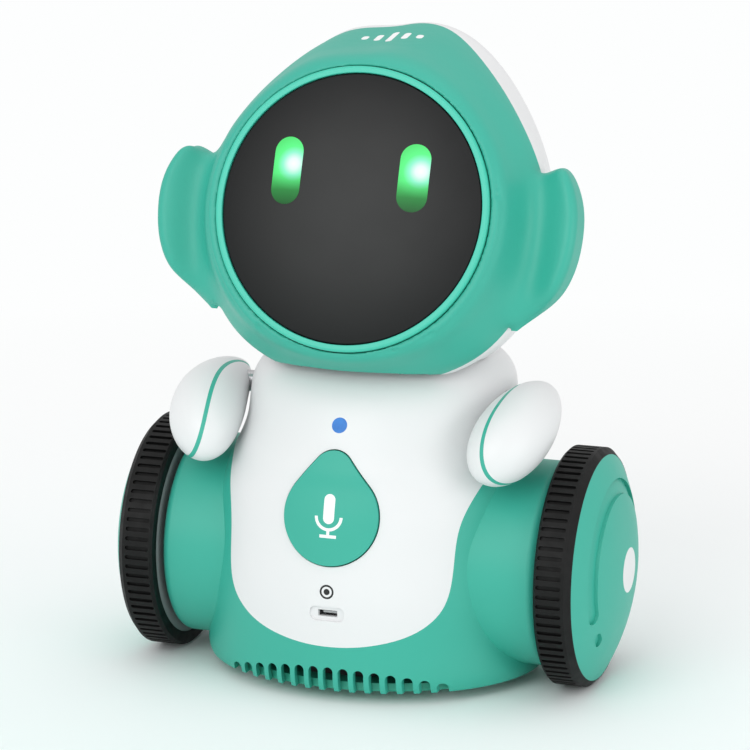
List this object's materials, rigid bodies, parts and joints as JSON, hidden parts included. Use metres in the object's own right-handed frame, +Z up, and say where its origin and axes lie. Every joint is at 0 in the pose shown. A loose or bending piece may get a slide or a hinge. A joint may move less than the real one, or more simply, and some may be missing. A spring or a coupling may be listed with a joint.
{
  "type": "educational coding robot",
  "caption": "Desk robot with a hooded round face, domed body, chest button, swinging arms and large treaded wheels driven by gear motors",
  "frame": {"origin": "on the floor, at the centre of the outline of the whole robot, midway between the wheels", "axes": "+Z up; the face looks along -Y; +X is to the right of someone facing the robot, which is its own left; the wheels turn about X"},
  "size_m": [0.155, 0.0924, 0.1876],
  "materials": {
    "battery": "shrink sleeve",
    "black_plastic": "moulded black",
    "blue_light": "blue light pipe",
    "board": "solder resist green",
    "brass": "turned",
    "eye_glow": "lit green light guide",
    "grey_plastic": "moulded grey",
    "lens_dark": "smoked gloss",
    "nylon": "moulded natural nylon",
    "steel": "plated",
    "teal_shell": "satin moulded teal",
    "teal_trim": "satin moulded light teal",
    "tyre_rubber": "moulded rubber",
    "white_inlay": "printed white",
    "white_shell": "satin moulded white"
  },
  "bodies": {
    "chassis": {"lower_shell": "teal_shell", "base_plate": "teal_shell", "battery_door": "teal_shell", "battery_pack": "battery", "base_screws": "steel", "caster_pins": "steel", "chest_panel": "white_shell", "back_shell": "white_shell", "status_light": "blue_light", "usb_socket": "steel", "charge_board": "board", "main_board": "board", "button_switch": "black_plastic", "speaker": "black_plastic", "power_switch_case": "black_plastic", "gearbox_left": "nylon", "gearbox_right": "nylon", "drive_motor_left": "steel", "drive_motor_right": "steel", "axle_bushes": "nylon", "neck_collar": "white_shell", "neck_retainer": "black_plastic", "head_servo": "black_plastic"},
    "head": {"head_front_shell": "teal_shell", "head_rear_shell": "white_shell", "face_lens": "lens_dark", "face_trim_ring": "teal_trim", "lens_carrier": "black_plastic", "eye_left": "eye_glow", "eye_right": "eye_glow", "eye_board": "board", "forehead_lights": "white_inlay", "head_floor_plate": "white_shell", "neck_bridge": "nylon", "servo_shaft": "steel"},
    "button": {"chest_button": "teal_shell", "button_icon": "white_inlay"},
    "power_knob": {"power_switch_knob": "black_plastic"},
    "front_roller": {"caster_roller_front": "nylon"},
    "rear_roller": {"caster_roller_rear": "nylon"},
    "arm_left": {"arm_outer_shell_left": "white_shell", "arm_stripe_left": "teal_shell", "arm_inner_shell_left": "white_shell", "shoulder_pin_left": "steel"},
    "wheel_left": {"tyre_left": "tyre_rubber", "wheel_rim_left": "grey_plastic", "hub_cover_left": "teal_shell", "hub_disc_left": "white_inlay", "axle_gear_left": "nylon"},
    "pinion_left": {"motor_pinion_left": "brass"},
    "arm_right": {"arm_outer_shell_right": "white_shell", "arm_stripe_right": "teal_shell", "arm_inner_shell_right": "white_shell", "shoulder_pin_right": "steel"},
    "wheel_right": {"tyre_right": "tyre_rubber", "wheel_rim_right": "grey_plastic", "hub_cover_right": "teal_shell", "hub_disc_right": "white_inlay", "axle_gear_right": "nylon"},
    "pinion_right": {"motor_pinion_right": "brass"}
  },
  "joints": [
    {"name": "head_yaw", "type": "hinge", "parent": "chassis", "child": "head", "pos_m": [0, 0.006, 0.0969], "axis": [0, 0, 1], "range_deg": [-30, 30]},
    {"name": "button_press", "type": "slide", "parent": "chassis", "child": "button", "axis": [0, 0.977, -0.213], "range_m": [0, 0.001], "stiffness_N_per_m": 400, "springref_m": -0.001},
    {"name": "power_slide", "type": "slide", "parent": "chassis", "child": "power_knob", "axis": [1, 0, 0], "range_m": [-0.002, 0.002]},
    {"name": "front_caster_roll", "type": "hinge", "parent": "chassis", "child": "front_roller", "pos_m": [0, -0.02, 0.00555], "axis": [1, 0, 0], "continuous": true},
    {"name": "rear_caster_roll", "type": "hinge", "parent": "chassis", "child": "rear_roller", "pos_m": [0, 0.032, 0.00555], "axis": [1, 0, 0], "continuous": true},
    {"name": "arm_swing_left", "type": "hinge", "parent": "chassis", "child": "arm_left", "pos_m": [-0.04834, 0.00215, 0.08181], "axis": [-1, 0, 0], "range_deg": [0, 35]},
    {"name": "wheel_spin_left", "type": "hinge", "parent": "chassis", "child": "wheel_left", "pos_m": [-0.0582, 0, 0.035], "axis": [1, 0, 0], "continuous": true},
    {"name": "pinion_spin_left", "type": "hinge", "parent": "chassis", "child": "pinion_left", "pos_m": [-0.0462, 0, 0.0526], "axis": [1, 0, 0], "continuous": true},
    {"name": "arm_swing_right", "type": "hinge", "parent": "chassis", "child": "arm_right", "pos_m": [0.04834, 0.00215, 0.08181], "axis": [-1, 0, 0], "range_deg": [0, 35]},
    {"name": "wheel_spin_right", "type": "hinge", "parent": "chassis", "child": "wheel_right", "pos_m": [0.0582, 0, 0.035], "axis": [1, 0, 0], "continuous": true},
    {"name": "pinion_spin_right", "type": "hinge", "parent": "chassis", "child": "pinion_right", "pos_m": [0.0462, 0, 0.0526], "axis": [1, 0, 0], "continuous": true}
  ],
  "couplings": [
    {"joint": "pinion_spin_left", "follows": "wheel_spin_left", "ratio": -2.1429},
    {"joint": "pinion_spin_right", "follows": "wheel_spin_right", "ratio": -2.1429}
  ]
}
